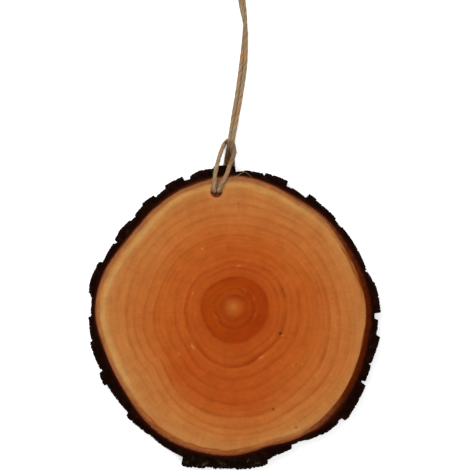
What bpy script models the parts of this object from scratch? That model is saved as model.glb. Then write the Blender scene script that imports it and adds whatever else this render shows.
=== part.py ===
"""A round slice of a branch with its bark on, and the jute twine it hangs by.

Units are metres. The slice lies face up on the plane z = 0, with +Z up and +Y
towards the hanging hole. The origin is on that plane, under the middle of the
slice. Two strands of the twine run under the slice at the hole, so that end
lies a little higher than the other.
"""

import bpy
import bmesh
from math import ceil, cos, degrees, atan2, pi, radians, sin
from mathutils import Vector

# Slice
THICKNESS = 0.0100
LEAN = radians(1.0)
GAP = 0.0003

# Wood edge: direction from the pith in degrees, and radius there
WOOD_EDGE = [
    (0, 0.0465), (15, 0.0452), (30, 0.0443), (46, 0.0444), (58, 0.0438), (72, 0.0450),
    (86, 0.0461), (100, 0.0458), (115, 0.0452), (130, 0.0441), (141, 0.0436), (152, 0.0443),
    (165, 0.0462), (180, 0.0473), (198, 0.0464), (213, 0.0465), (228, 0.0479), (243, 0.0493),
    (268, 0.0500), (284, 0.0489), (300, 0.0497), (314, 0.0489), (330, 0.0477), (345, 0.0467),
]

# Bark plates, anticlockwise: first direction in degrees, radius at its start and at its end
PLATES = [
    (-1.7, 0.0519, 0.0508), (9.5, 0.0506, 0.0490), (14.5, 0.0484, 0.0485), (17.0, 0.0489, 0.0479),
    (36.0, 0.0474, 0.0475), (41.5, 0.0478, 0.0483), (55.3, 0.0464, 0.0471), (63.5, 0.0470, 0.0466),
    (67.0, 0.0487, 0.0488), (75.6, 0.0478, 0.0478), (77.4, 0.0484, 0.0485), (84.5, 0.0482, 0.0477),
    (88.0, 0.0498, 0.0502), (96.8, 0.0492, 0.0493), (98.5, 0.0493, 0.0496), (105.5, 0.0488, 0.0481),
    (107.0, 0.0475, 0.0476), (110.5, 0.0494, 0.0489), (118.0, 0.0480, 0.0472), (124.0, 0.0466, 0.0466),
    (125.3, 0.0481, 0.0483), (130.0, 0.0477, 0.0472), (135.5, 0.0466, 0.0467), (140.0, 0.0472, 0.0479),
    (146.0, 0.0475, 0.0473), (148.6, 0.0461, 0.0468), (152.0, 0.0474, 0.0480), (160.5, 0.0494, 0.0502),
    (167.0, 0.0503, 0.0505),
    (173.0, 0.0501, 0.0492), (175.5, 0.0490, 0.0494), (183.8, 0.0502, 0.0503), (192.5, 0.0500, 0.0500),
    (193.7, 0.0510, 0.0507), (204.2, 0.0501, 0.0501), (206.6, 0.0517, 0.0522), (210.5, 0.0511, 0.0513),
    (226.0, 0.0527, 0.0528), (240.0, 0.0533, 0.0543), (251.5, 0.0574, 0.0565), (255.5, 0.0563, 0.0563),
    (259.8, 0.0554, 0.0555), (272.0, 0.0560, 0.0556), (282.5, 0.0544, 0.0537), (285.5, 0.0536, 0.0531),
    (292.7, 0.0518, 0.0526), (300.0, 0.0531, 0.0540), (306.0, 0.0545, 0.0545), (312.5, 0.0540, 0.0540),
    (315.8, 0.0559, 0.0550), (320.0, 0.0552, 0.0540), (329.6, 0.0518, 0.0518), (332.0, 0.0530, 0.0525),
    (337.3, 0.0514, 0.0514), (339.0, 0.0522, 0.0526), (348.7, 0.0514, 0.0511), (355.7, 0.0503, 0.0502),
]

# Bark relief
RIDGE = 0.00030
RIDGE_COUNTS = (61, 97)
WANDER_DEGREES = 0.7
CHIP = 0.0007

# Hanging hole, placed from the pith
HOLE_RADIUS = 0.0020
HOLE_FLARE = 0.0003
HOLE_FROM_PITH = (-0.0054, 0.0410)

# Twine
TWINE_RADIUS = 0.000625
TWINE_STEP = 0.0036

# Route of the twine, from its knot to the hitch, round through the hole, and back to the knot
TWINE_ROUTE = [
    (0.00154, 0.11430, 0.00152), (0.00254, 0.10780, 0.00175), (0.00349, 0.10230, 0.00205),
    (0.00384, 0.09670, 0.00184), (0.00357, 0.08810, 0.00118), (0.00225, 0.07840, 0.00085),
    (0.00104, 0.07100, 0.00095), (-0.00016, 0.06530, 0.00225), (-0.00076, 0.06200, 0.00298),
    (-0.00098, 0.05910, 0.00222), (-0.00086, 0.05630, 0.00105), (-0.00041, 0.05350, 0.00063),
    (-0.00101, 0.05100, 0.00063), (-0.00331, 0.04820, 0.00063), (-0.00506, 0.04610, 0.00075),
    (-0.00540, 0.04490, 0.00115), (-0.00553, 0.04420, 0.00230), (-0.00553, 0.04390, 0.00450),
    (-0.00553, 0.04390, 0.00960), (-0.00552, 0.04415, 0.01140), (-0.00535, 0.04475, 0.01235),
    (-0.00490, 0.04580, 0.01268), (-0.00381, 0.04760, 0.01274), (-0.00236, 0.05070, 0.01280),
    (-0.00166, 0.05300, 0.01268), (-0.00096, 0.05440, 0.01120), (0.00010, 0.05730, 0.00560),
    (0.00044, 0.05930, 0.00235), (0.00026, 0.06080, 0.00100), (-0.00036, 0.06180, 0.00063),
    (-0.00136, 0.06210, 0.00063), (-0.00232, 0.06170, 0.00063), (-0.00325, 0.06095, 0.00095),
    (-0.00390, 0.05990, 0.00235), (-0.00470, 0.05775, 0.00620), (-0.00561, 0.05470, 0.01110),
    (-0.00616, 0.05250, 0.01268), (-0.00676, 0.04950, 0.01278), (-0.00701, 0.04575, 0.01268),
    (-0.00700, 0.04475, 0.01235), (-0.00699, 0.04415, 0.01140), (-0.00699, 0.04390, 0.00960),
    (-0.00699, 0.04390, 0.00450), (-0.00699, 0.04420, 0.00230), (-0.00697, 0.04490, 0.00115),
    (-0.00686, 0.04610, 0.00075), (-0.00581, 0.04840, 0.00063), (-0.00411, 0.05130, 0.00063),
    (-0.00306, 0.05350, 0.00063), (-0.00256, 0.05630, 0.00085), (-0.00236, 0.05910, 0.00155),
    (-0.00201, 0.06200, 0.00218), (-0.00141, 0.06530, 0.00145), (-0.00041, 0.07100, 0.00063),
    (0.00084, 0.07840, 0.00063), (0.00225, 0.08810, 0.00063), (0.00309, 0.09670, 0.00063),
    (0.00349, 0.10230, 0.00063), (0.00339, 0.10780, 0.00063), (0.00264, 0.11430, 0.00063),
]

# Knot that joins the two ends
KNOT_CENTRE = (0.0021, 0.1176, 0.0019)
KNOT_HALF_SIZE = (0.0024, 0.0029, 0.0019)
KNOT_GROOVE = 0.10
TAIL_ROUTES = [
    [(0.0016, 0.1186, 0.0016), (0.0010, 0.1209, 0.0010), (0.0002, 0.1232, 0.0007), (-0.0010, 0.1254, 0.00065)],
    [(0.0026, 0.1186, 0.0016), (0.0033, 0.1210, 0.0009), (0.0037, 0.1234, 0.0007), (0.0034, 0.1260, 0.00065)],
]

# Mesh fineness
WOOD_SIDES = 120
BARK_SIDES = 360
BARK_LEVELS = (0.0, 0.06, 0.30, 0.55, 0.78, 0.94, 1.0)
HOLE_SIDES = 24

# Colours: red, green and blue, linear
WOOD_COLOUR = (0.46, 0.11, 0.018, 1.0)
BARK_COLOUR = (0.010, 0.004, 0.003, 1.0)
TWINE_COLOUR = (0.27, 0.16, 0.08, 1.0)


def clear_scene():
    """Remove every object that the file starts with."""
    for old in list(bpy.data.objects):
        bpy.data.objects.remove(old, do_unlink=True)


def new_collection(name):
    collection = bpy.data.collections.new(name)
    bpy.context.scene.collection.children.link(collection)
    return collection


def move_to(obj, collection):
    for old in list(obj.users_collection):
        old.objects.unlink(obj)
    collection.objects.link(obj)


def material(name, colour, roughness):
    """One plain finish, not metallic."""
    made = bpy.data.materials.new(name)
    made.use_nodes = True
    shader = made.node_tree.nodes["Principled BSDF"]
    shader.inputs["Base Color"].default_value = colour
    shader.inputs["Roughness"].default_value = roughness
    shader.inputs["Metallic"].default_value = 0.0
    return made


def as_cutter(obj, cutters):
    """Keep a helper solid out of renders and show it as wire."""
    move_to(obj, cutters)
    obj.hide_render = True
    obj.display_type = "WIRE"


def boolean(obj, other, operation):
    modifier = obj.modifiers.new(operation.lower() + " " + other.name, "BOOLEAN")
    modifier.operation = operation
    modifier.solver = "EXACT"
    modifier.object = other


def shade(obj, sharp_from):
    obj.data.shade_smooth()
    obj.data.set_sharp_from_angle(angle=sharp_from)


# Outline of the slice

def wood_edge(angle):
    """Radius of the wood in a direction in degrees: a smooth closed curve through WOOD_EDGE."""
    angle = angle % 360.0
    count = len(WOOD_EDGE)
    index = max(i for i in range(count) if WOOD_EDGE[i][0] <= angle)
    points = []
    for offset in (-1, 0, 1, 2):
        turns, place = divmod(index + offset, count)
        points.append((WOOD_EDGE[place][0] + 360.0 * turns, WOOD_EDGE[place][1]))
    (a0, r0), (a1, r1), (a2, r2), (a3, r3) = points
    span = a2 - a1
    slope1 = (r2 - r0) / (a2 - a0) * span
    slope2 = (r3 - r1) / (a3 - a1) * span
    t = (angle - a1) / span
    return (
        (2 * t**3 - 3 * t**2 + 1) * r1
        + (t**3 - 2 * t**2 + t) * slope1
        + (3 * t**2 - 2 * t**3) * r2
        + (t**3 - t**2) * slope2
    )


def plate_radius(angle):
    """Radius of the bark in a direction in degrees: straight along each plate, with a step between plates."""
    first = PLATES[0][0]
    angle = (angle - first) % 360.0 + first
    index = max(i for i in range(len(PLATES)) if PLATES[i][0] <= angle)
    start, radius_start, radius_end = PLATES[index]
    end = PLATES[index + 1][0] if index + 1 < len(PLATES) else first + 360.0
    return radius_start + (radius_end - radius_start) * (angle - start) / (end - start)


def bark_edge(angle, level):
    """Radius of the bark at a direction in degrees and a level from 0 to 1 through the thickness.

    The steps between plates wander a little from face to face, fine ridges
    follow the grain, and the sawn rims are chipped.
    """
    wander = WANDER_DEGREES * sin(2.2 * pi * level + radians(angle) * 7.0)
    turn = radians(angle)
    ridge = 0.0
    for number, count in enumerate(RIDGE_COUNTS):
        ridge += 0.5 - 0.5 * sin(count * turn + 1.7 * number + 1.3 * level)
    ridge *= RIDGE / len(RIDGE_COUNTS)
    rim = abs(2.0 * level - 1.0) ** 8
    chip = CHIP * rim * (0.5 + 0.5 * sin(23.0 * turn + 2.0 * sin(9.0 * turn)))
    return plate_radius(angle + wander) - ridge - chip


def push_to_outline(obj, radius_at):
    """Move each outer vertex of an upright cylinder to radius_at(direction in degrees, height)."""
    for vertex in obj.data.vertices:
        angle = degrees(atan2(vertex.co.y, vertex.co.x))
        radius = radius_at(angle, vertex.co.z)
        turn = radians(angle)
        vertex.co.x = radius * cos(turn)
        vertex.co.y = radius * sin(turn)


def cylinder(name, sides, depth):
    """An upright cylinder, centred on the slice's own axis at mid thickness."""
    bpy.ops.mesh.primitive_cylinder_add(vertices=sides, radius=1.0, depth=depth)
    obj = bpy.context.active_object
    obj.name = name
    for vertex in obj.data.vertices:
        vertex.co.z += THICKNESS / 2.0
    return obj


# Wood

def hole_cutter(lean, cutters):
    """The drilled hole with its two worn rims, as a turned solid."""
    over = 0.001
    wide = HOLE_RADIUS + HOLE_FLARE
    profile = [
        (0.0, THICKNESS + over),
        (wide, THICKNESS + over),
        (wide, THICKNESS),
        (HOLE_RADIUS, THICKNESS - HOLE_FLARE),
        (HOLE_RADIUS, HOLE_FLARE),
        (wide, 0.0),
        (wide, -over),
        (0.0, -over),
    ]
    mesh = bpy.data.meshes.new("hole cutter")
    edges = [(i, i + 1) for i in range(len(profile) - 1)]
    mesh.from_pydata([(r, 0.0, z) for r, z in profile], edges, [])
    cutter = bpy.data.objects.new("hole cutter", mesh)
    bpy.context.scene.collection.objects.link(cutter)
    screw = cutter.modifiers.new("turn", "SCREW")
    screw.axis = "Z"
    screw.steps = HOLE_SIDES
    screw.render_steps = HOLE_SIDES
    screw.use_merge_vertices = True
    screw.merge_threshold = 0.00001
    cutter.parent = lean
    cutter.location = (HOLE_FROM_PITH[0], HOLE_FROM_PITH[1], 0.0)
    as_cutter(cutter, cutters)
    return cutter


def make_wood(lean, collection, cutters):
    wood = cylinder("wood", WOOD_SIDES, THICKNESS)
    push_to_outline(wood, lambda angle, height: wood_edge(angle))
    wood.parent = lean
    boolean(wood, hole_cutter(lean, cutters), "DIFFERENCE")
    wood.data.materials.append(material("sawn wood", WOOD_COLOUR, 0.55))
    shade(wood, radians(30))
    move_to(wood, collection)
    return wood


# Bark

def add_levels(obj):
    """Cut a cylinder's wall into the bark's levels."""
    mesh = bmesh.new()
    mesh.from_mesh(obj.data)
    for level in BARK_LEVELS[1:-1]:
        everything = mesh.verts[:] + mesh.edges[:] + mesh.faces[:]
        height = (0.0, 0.0, level * THICKNESS)
        bmesh.ops.bisect_plane(mesh, geom=everything, plane_co=height, plane_no=(0.0, 0.0, 1.0))
    mesh.to_mesh(obj.data)
    mesh.free()


def make_bark(lean, collection, cutters):
    bark = cylinder("bark", BARK_SIDES, THICKNESS)
    add_levels(bark)
    push_to_outline(bark, lambda angle, height: bark_edge(angle, height / THICKNESS))
    bark.parent = lean
    room = cylinder("wood room", WOOD_SIDES, THICKNESS * 1.5)
    push_to_outline(room, lambda angle, height: wood_edge(angle) + GAP)
    room.parent = lean
    as_cutter(room, cutters)
    boolean(bark, room, "DIFFERENCE")
    bark.data.materials.append(material("bark", BARK_COLOUR, 0.85))
    shade(bark, radians(40))
    move_to(bark, collection)
    return bark


def seat_slice(lean, bark):
    """Tip the slice, then set its lowest corner on the floor and its middle over the origin."""
    lean.rotation_euler = (LEAN, 0.0, 0.0)
    turned = lean.rotation_euler.to_matrix()
    corners = [turned @ vertex.co for vertex in bark.data.vertices]
    lean.location = (
        -(min(c.x for c in corners) + max(c.x for c in corners)) / 2.0,
        -(min(c.y for c in corners) + max(c.y for c in corners)) / 2.0,
        -min(c.z for c in corners),
    )


# Twine

def smooth_points(route, step):
    """Points on a smooth curve through the route, one at each route point and one every step between."""
    points = [Vector(p) for p in route]
    points.insert(0, points[0] * 2.0 - points[1])
    points.append(points[-1] * 2.0 - points[-2])
    smooth = []
    for i in range(1, len(points) - 2):
        before, start, end, after = points[i - 1:i + 3]
        span = (end - start).length
        slope_in = (end - before) * span / ((end - start).length + (start - before).length)
        slope_out = (after - start) * span / ((after - end).length + span)
        pieces = max(1, ceil(span / step - 0.5))
        for piece in range(pieces):
            t = piece / pieces
            smooth.append(
                (2 * t**3 - 3 * t**2 + 1) * start
                + (t**3 - 2 * t**2 + t) * slope_in
                + (3 * t**2 - 2 * t**3) * end
                + (t**3 - t**2) * slope_out
            )
    smooth.append(points[-2])
    for point in smooth:
        point.z = max(point.z, TWINE_RADIUS)
    return smooth


def twine_tube(name, route, step):
    """A round tube along a smooth curve, with closed ends."""
    points = smooth_points(route, step)
    curve = bpy.data.curves.new(name, "CURVE")
    curve.dimensions = "3D"
    curve.bevel_depth = TWINE_RADIUS
    curve.bevel_resolution = 2
    curve.use_fill_caps = True
    spline = curve.splines.new("POLY")
    spline.points.add(len(points) - 1)
    for target, point in zip(spline.points, points):
        target.co = (point.x, point.y, point.z, 1.0)
    obj = bpy.data.objects.new(name, curve)
    bpy.context.scene.collection.objects.link(obj)
    return obj


def tube_to_mesh(tube):
    """Turn a tube's curve into a closed mesh object, for a solid that is joined to another."""
    name = tube.name
    bpy.context.view_layer.update()
    evaluated = tube.evaluated_get(bpy.context.evaluated_depsgraph_get())
    mesh = bpy.data.meshes.new_from_object(evaluated)
    place = tube.matrix_world.copy()
    bpy.data.objects.remove(tube, do_unlink=True)
    welded = bmesh.new()
    welded.from_mesh(mesh)
    bmesh.ops.remove_doubles(welded, verts=welded.verts, dist=0.00001)
    welded.to_mesh(mesh)
    welded.free()
    obj = bpy.data.objects.new(name, mesh)
    bpy.context.scene.collection.objects.link(obj)
    obj.matrix_world = place
    return obj


def make_twine(finish, collection):
    twine = twine_tube("twine", TWINE_ROUTE, TWINE_STEP)
    twine.data.materials.append(finish)
    move_to(twine, collection)
    return twine


def make_knot(finish, collection, cutters):
    """The overhand knot of both ends: a lump with the turns as grooves, and its two short tails."""
    bpy.ops.mesh.primitive_uv_sphere_add(segments=20, ring_count=12, radius=1.0)
    knot = bpy.context.active_object
    knot.name = "twine_knot"
    for vertex in knot.data.vertices:
        across, along, up = vertex.co.x, vertex.co.z, vertex.co.y
        groove = 1.0 - KNOT_GROOVE * (0.5 + 0.5 * sin(3.0 * atan2(up, across) + 4.0 * along))
        vertex.co = Vector((
            -across * groove * KNOT_HALF_SIZE[0],
            along * KNOT_HALF_SIZE[1],
            up * groove * KNOT_HALF_SIZE[2],
        ))
    knot.location = KNOT_CENTRE
    for number, route in enumerate(TAIL_ROUTES, start=1):
        tail = tube_to_mesh(twine_tube(f"tail {number}", route, TWINE_STEP))
        as_cutter(tail, cutters)
        boolean(knot, tail, "UNION")
    knot.data.materials.append(finish)
    shade(knot, radians(50))
    move_to(knot, collection)
    return knot


def main():
    clear_scene()
    collection = new_collection("wood slice")
    cutters = new_collection("cutters")
    lean = bpy.data.objects.new("slice lean", None)
    collection.objects.link(lean)
    bark = make_bark(lean, collection, cutters)
    make_wood(lean, collection, cutters)
    seat_slice(lean, bark)
    jute = material("jute twine", TWINE_COLOUR, 0.9)
    make_twine(jute, collection)
    make_knot(jute, collection, cutters)


main()
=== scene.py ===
"""Looks of a branch slice with its bark on, and of the jute twine that it hangs by.

Units are metres. The slice lies face up, with +Z up and +Y towards its hanging
hole. Shapes of the slice are made in the slice's own coordinates, with the
origin at the middle of its back and z from 0 at the back to THICKNESS at the
front, and are then put in place by SLICE_PLACE. "Direction" is an angle round
that axis, anticlockwise from +X.
"""

import bpy
import numpy as np
from math import ceil, cos, pi, radians, sin
from mathutils import Matrix, Vector, noise

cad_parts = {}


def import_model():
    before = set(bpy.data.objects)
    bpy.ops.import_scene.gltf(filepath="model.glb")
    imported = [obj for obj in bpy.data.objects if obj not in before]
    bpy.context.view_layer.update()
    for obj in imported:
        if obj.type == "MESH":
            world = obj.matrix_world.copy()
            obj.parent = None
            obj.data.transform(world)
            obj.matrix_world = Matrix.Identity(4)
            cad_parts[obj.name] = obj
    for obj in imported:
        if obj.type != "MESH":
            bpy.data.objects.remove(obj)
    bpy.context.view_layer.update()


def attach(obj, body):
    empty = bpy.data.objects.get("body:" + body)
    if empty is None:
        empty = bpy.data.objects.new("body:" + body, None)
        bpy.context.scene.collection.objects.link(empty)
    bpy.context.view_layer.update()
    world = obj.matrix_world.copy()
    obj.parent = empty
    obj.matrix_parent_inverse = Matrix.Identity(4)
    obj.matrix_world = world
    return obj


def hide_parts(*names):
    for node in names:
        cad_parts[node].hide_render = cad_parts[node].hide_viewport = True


# View
PHOTO_PIXELS = 470
METRES_PER_PIXEL = 0.000348
VIEW_CENTRE = (0.00015, 0.02861)
CAMERA_HEIGHT = 1.5
SENSOR_WIDTH = 36.0

# Slice
THICKNESS = 0.0100
LEAN = radians(1.0)
AXIS_FOOT = (-0.0008943, 0.0030365, 0.0009665)
SLICE_PLACE = Matrix.Translation(AXIS_FOOT) @ Matrix.Rotation(LEAN, 4, "X")
JOINT_GAP = 0.0003
WOOD_CHAMFER = 0.00003

# Columns of faces round each part, and rows: wood back, side and front, then bark front, side and back
WOOD_COLUMNS = 288
WOOD_ROWS = (60, 4, 170)
BARK_COLUMNS = 1080
BARK_ROWS = (22, 34, 9)
HOLE_SIDES = 64
STRAND_SIDES = 24
KNOT_SIDES = 20

# Directions in degrees at which closed curves are worked out
ALL_ROUND = np.arange(0.0, 360.0, 0.5)

# Wood edge: direction in degrees, and radius there
WOOD_EDGE = [
    (0, 0.0465), (15, 0.0452), (30, 0.0443), (46, 0.0444), (58, 0.0438), (72, 0.0450),
    (86, 0.0461), (100, 0.0458), (115, 0.0452), (130, 0.0441), (141, 0.0436), (152, 0.0443),
    (165, 0.0462), (180, 0.0473), (198, 0.0464), (213, 0.0465), (228, 0.0479), (243, 0.0493),
    (268, 0.0500), (284, 0.0489), (300, 0.0497), (314, 0.0489), (330, 0.0477), (345, 0.0467),
]

# Bark plates, anticlockwise: first direction in degrees, radius at its start and at its end
PLATES = [
    (-1.3, 0.0519, 0.0508), (9.5, 0.0506, 0.0490), (14.5, 0.0484, 0.0485), (17.0, 0.0489, 0.0479),
    (36.0, 0.0474, 0.0475), (41.5, 0.0481, 0.0478), (52.8, 0.0483, 0.0484), (55.6, 0.0464, 0.0471),
    (63.5, 0.0470, 0.0466), (67.0, 0.0487, 0.0488), (75.6, 0.0478, 0.0478), (77.4, 0.0484, 0.0485),
    (84.5, 0.0482, 0.0477), (89.2, 0.0498, 0.0502), (96.8, 0.0492, 0.0493), (98.5, 0.0494, 0.0495),
    (103.0, 0.0495, 0.0485), (107.0, 0.0475, 0.0476), (111.2, 0.0493, 0.0489), (118.0, 0.0480, 0.0472),
    (124.0, 0.0466, 0.0466), (125.3, 0.0481, 0.0483), (130.0, 0.0477, 0.0472), (135.5, 0.0466, 0.0467),
    (140.0, 0.0472, 0.0479), (146.0, 0.0475, 0.0476), (149.3, 0.0461, 0.0468), (152.0, 0.0474, 0.0480),
    (161.2, 0.0494, 0.0502), (167.0, 0.0503, 0.0505), (173.0, 0.0501, 0.0492), (175.5, 0.0490, 0.0494),
    (183.8, 0.0502, 0.0503), (192.5, 0.0500, 0.0500), (193.7, 0.0510, 0.0507), (204.2, 0.0501, 0.0501),
    (206.6, 0.0517, 0.0522), (210.5, 0.0511, 0.0513), (226.0, 0.0527, 0.0528), (240.0, 0.0533, 0.0547),
    (252.4, 0.0578, 0.0572), (255.5, 0.0570, 0.0567), (259.8, 0.0560, 0.0559), (272.0, 0.0562, 0.0560),
    (282.5, 0.0544, 0.0537), (285.5, 0.0536, 0.0531), (292.7, 0.0518, 0.0526), (300.0, 0.0531, 0.0540),
    (306.0, 0.0545, 0.0545), (312.5, 0.0540, 0.0540), (315.8, 0.0559, 0.0550), (320.0, 0.0552, 0.0540),
    (329.6, 0.0518, 0.0518), (332.0, 0.0530, 0.0525), (337.3, 0.0514, 0.0514), (339.0, 0.0522, 0.0526),
    (348.7, 0.0514, 0.0511), (355.3, 0.0499, 0.0498),
]

# How far the plates' ends wander over the thickness, in degrees
PLATE_WANDER = 0.7

# Relief of the outer bark, in metres: on its side, on its sawn ends, and at their edges
FURROW_DEPTH = 0.00042
SPLIT_DEPTH = 0.00040
CRUMB_DEPTH = 0.00022
BARK_PROUD = 0.00008
END_ROUGH = 0.00030
END_CRUMBS = 0.00022
END_ROUNDING = 0.00045
EDGE_CHIP = 0.0004

# Ragged fringe of the lowest plates: direction and half width in degrees, depth, and how far it stands out
FRINGE_DIRECTION = 267.0
FRINGE_HALF_WIDTH = 17.0
FRINGE_DEPTH = 0.0011
FRINGE_PROUD = 0.00045

# Scales per millimetre of the bark's relief, round and along the branch
FURROW_SCALES = (0.75, 0.16)
SPLIT_SCALES = (0.30, 0.55)
CRUMB_SCALES = (2.6, 1.3)
FRINGE_SCALES = (1.5, 0.8)
END_ROUGH_SCALES = (0.9, 0.0)
END_CRUMB_SCALES = (2.4, 0.0)

# Growth rings: radii in millimetres of a few of them round the pith, one for every 15 degrees from +X,
# each with its share of the way from the pith to the wood's edge
RING_CENTRE = (0.00035, 0.00095)
RING_CURVES = [
    (0.240, (11.8, 11.7, 11.3, 11.0, 10.4, 10.1, 9.75, 9.6, 9.6, 9.9, 10.3, 10.6,
             10.8, 10.8, 11.0, 11.3, 11.9, 12.2, 12.4, 12.4, 12.3, 12.4, 12.2, 12.1)),
    (0.380, (18.3, 18.1, 17.9, 17.4, 16.5, 15.7, 15.5, 15.0, 14.8, 15.6, 15.8, 16.0,
             16.5, 16.9, 17.6, 18.3, 19.5, 20.7, 21.1, 20.5, 19.3, 19.1, 19.0, 18.4)),
    (0.480, (23.1, 23.0, 22.3, 21.6, 20.7, 20.0, 19.8, 19.7, 19.5, 19.5, 19.6, 20.0,
             20.1, 20.4, 21.1, 21.9, 24.0, 24.9, 25.2, 24.9, 24.1, 24.0, 24.0, 23.7)),
    (0.605, (29.1, 28.6, 27.5, 26.4, 25.4, 24.9, 24.7, 24.7, 24.7, 25.0, 25.2, 25.8,
             27.0, 28.0, 28.5, 29.4, 31.2, 33.0, 33.9, 33.7, 32.4, 31.8, 31.5, 30.5)),
    (0.695, (33.2, 32.0, 30.8, 30.3, 29.2, 28.5, 28.2, 28.5, 28.7, 28.5, 28.5, 28.9,
             30.5, 32.0, 32.0, 32.7, 36.0, 37.8, 38.3, 38.5, 37.4, 36.4, 36.0, 34.3)),
    (0.780, (36.5, 35.3, 34.5, 33.8, 32.5, 31.8, 31.7, 31.8, 31.8, 32.0, 32.0, 32.7,
             34.1, 35.1, 35.0, 35.7, 39.0, 41.4, 42.6, 42.3, 41.1, 40.7, 40.0, 38.1)),
    (0.845, (39.8, 38.6, 37.8, 36.7, 35.7, 35.3, 35.3, 35.0, 34.8, 34.8, 35.1, 35.8,
             36.7, 37.6, 37.6, 38.5, 41.6, 43.8, 44.9, 44.7, 44.0, 44.0, 43.8, 42.3)),
]

# Dent of the outer rings: its share, direction and half width in degrees, and the shares where it grows
RING_DENT = 0.024
RING_DENT_DIRECTION = 218.0
RING_DENT_HALF_WIDTH = 5.0
RING_DENT_SHARES = (0.50, 0.65)

# Ring lines: share of the way out, half width as a share, darkness, and the direction where it is darkest
RINGS = [
    (0.088, 0.018, 0.64, 30), (0.147, 0.013, 0.60, 270), (0.187, 0.011, 0.28, 40),
    (0.240, 0.016, 0.80, 130), (0.285, 0.010, 0.22, 0), (0.328, 0.012, 0.40, 50), (0.380, 0.016, 0.91, 310),
    (0.428, 0.011, 0.22, 20), (0.480, 0.014, 0.48, 290), (0.505, 0.011, 0.25, 70),
    (0.540, 0.013, 0.38, 270), (0.573, 0.011, 0.25, 90), (0.605, 0.017, 0.51, 180),
    (0.650, 0.012, 0.25, 20), (0.695, 0.017, 0.62, 320), (0.737, 0.011, 0.20, 190),
    (0.780, 0.017, 0.52, 330), (0.812, 0.010, 0.16, 200), (0.845, 0.015, 0.36, 170),
    (0.893, 0.014, 0.26, 80), (0.925, 0.011, 0.16, 200),
]

# Section of a ring, in half widths of its line: where past its middle it is darkest, over how much it darkens
# and clears, and the pale wood's middle, half width and strength after that
RING_DARKEST = 0.3
RING_DARKENS = 2.4
RING_CLEARS = 0.9
RING_PALE_MIDDLE = 1.5
RING_PALE_HALF_WIDTH = 0.9
RING_PALE = 0.45
RING_DARK_POWER = 1.4

# Unevenness of the rings: mean strength, random change round the slice, change to one side, and wander
RING_MEAN = 0.85
RING_PATCHES = 0.75
RING_DARK_SIDE = 0.30
RING_SHAKES = [(0.0040, 110.0), (0.0022, 420.0)]

# Darker side of the core: its direction, its strength, and shares of the way out
CORE_DARK_DIRECTION = 325.0
CORE_DARK_SIDE = 0.5
CORE_SHARES = (0.06, 0.12, 0.23, 0.25)

# Redder sector of the wood: its middle direction, half width in degrees, and shares of the way out
WARM_DIRECTION = 258.0
WARM_HALF_WIDTH = 44.0
WARM_SHARES = (0.36, 0.50, 0.64, 0.73)

# Small marks on the face, in millimetres from the axis: x, y, direction, half length, half width, tone
MARKS = [
    (-10.3, 20.9, 0, 0.70, 0.55, 0.45), (-18.3, 14.1, 90, 0.55, 0.45, 0.30),
    (-13.7, 5.4, 80, 0.80, 0.45, 0.40), (2.4, 15.0, 0, 1.60, 0.60, 0.28),
    (-13.6, -13.2, -58, 1.70, 0.70, 0.52), (-18.6, -15.5, -60, 1.30, 0.60, 0.30),
    (10.3, -16.7, 35, 1.60, 0.65, 0.48), (21.2, -19.8, 20, 0.70, 0.55, 0.28),
    (24.4, -19.1, 30, 0.80, 0.55, 0.22), (17.7, -9.3, -30, 1.00, 0.45, 0.36),
    (8.0, -2.0, 69, 1.40, 0.60, 0.14), (7.5, 3.6, 110, 1.20, 0.60, 0.11), (4.3, 6.6, 145, 1.70, 0.55, 0.13),
    (-5.6, -2.9, -57, 1.50, 0.60, 0.13), (-4.9, -2.5, -57, 1.40, 0.45, -0.30),
    (16.8, -8.5, 0, 0.85, 0.75, -0.95), (18.6, -9.9, -25, 1.30, 0.40, -0.40),
    (14.3, -34.9, 10, 0.90, 0.70, -0.62), (22.3, -41.2, 0, 0.75, 0.60, -0.50),
    (17.4, 6.6, 70, 1.00, 0.60, -0.30), (2.2, 36.7, 120, 0.90, 0.50, -0.28),
]

# How the marks look: their strength, how ragged their edges are, and the colours of pale and dark ones
MARK_STRENGTH = 0.85
MARK_RAGGED_SCALE = 900.0
MARK_RAGGED_REACH = 0.0009
PALE_MARK = (208, 140, 80)
DARK_MARK = (44, 14, 5)

# Wood colour by the share of the way from pith to edge: red, green and blue as seen, 0 to 255
WOOD_COLOURS = [
    (0.000, (190, 108, 50)), (0.030, (175, 87, 32)), (0.060, (167, 74, 24)), (0.100, (159, 63, 15)),
    (0.215, (159, 60, 12)), (0.245, (165, 67, 18)), (0.290, (175, 78, 26)), (0.360, (177, 80, 27)),
    (0.450, (181, 87, 31)), (0.580, (183, 93, 35)), (0.730, (186, 103, 46)), (0.860, (186, 111, 53)),
    (1.000, (183, 119, 63)),
]

# Colours of the wood's bands and lines, tints of its redder, yellower, dark and pale places, and its clouds
WOOD_BANDS = [("pale_band", (195, 140, 78)), ("brown_edge", (156, 95, 55)), ("red_edge", (152, 82, 32))]
WOOD_LINES = [("wavy_line", (128, 50, 10)), ("dark_line", (64, 24, 6))]
RED_TINT = (0.92, 0.70, 0.55, 1.0)
YELLOW_TINT = (1.08, 1.28, 1.50, 1.0)
DARK_RING_TINT = (0.76, 0.58, 0.42, 1.0)
PALE_RING_TINT = (1.10, 1.22, 1.45, 1.0)
CLOUD_SCALE = 75.0
CLOUD_STRENGTH = 1.6

# Fine patterns on the wood: how fine each is, and the strengths of rays, bands, mottle and grain
RAY_SCALES = (70.0, 70.0, 9.0)
BAND_SCALES = (7.0, 7.0, 110.0)
MOTTLE_SCALE = 260.0
FINE_GRAIN_SCALE = 1500.0
PATTERN_STRENGTHS = (0.12, 0.16, 0.22, 0.14)

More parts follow.
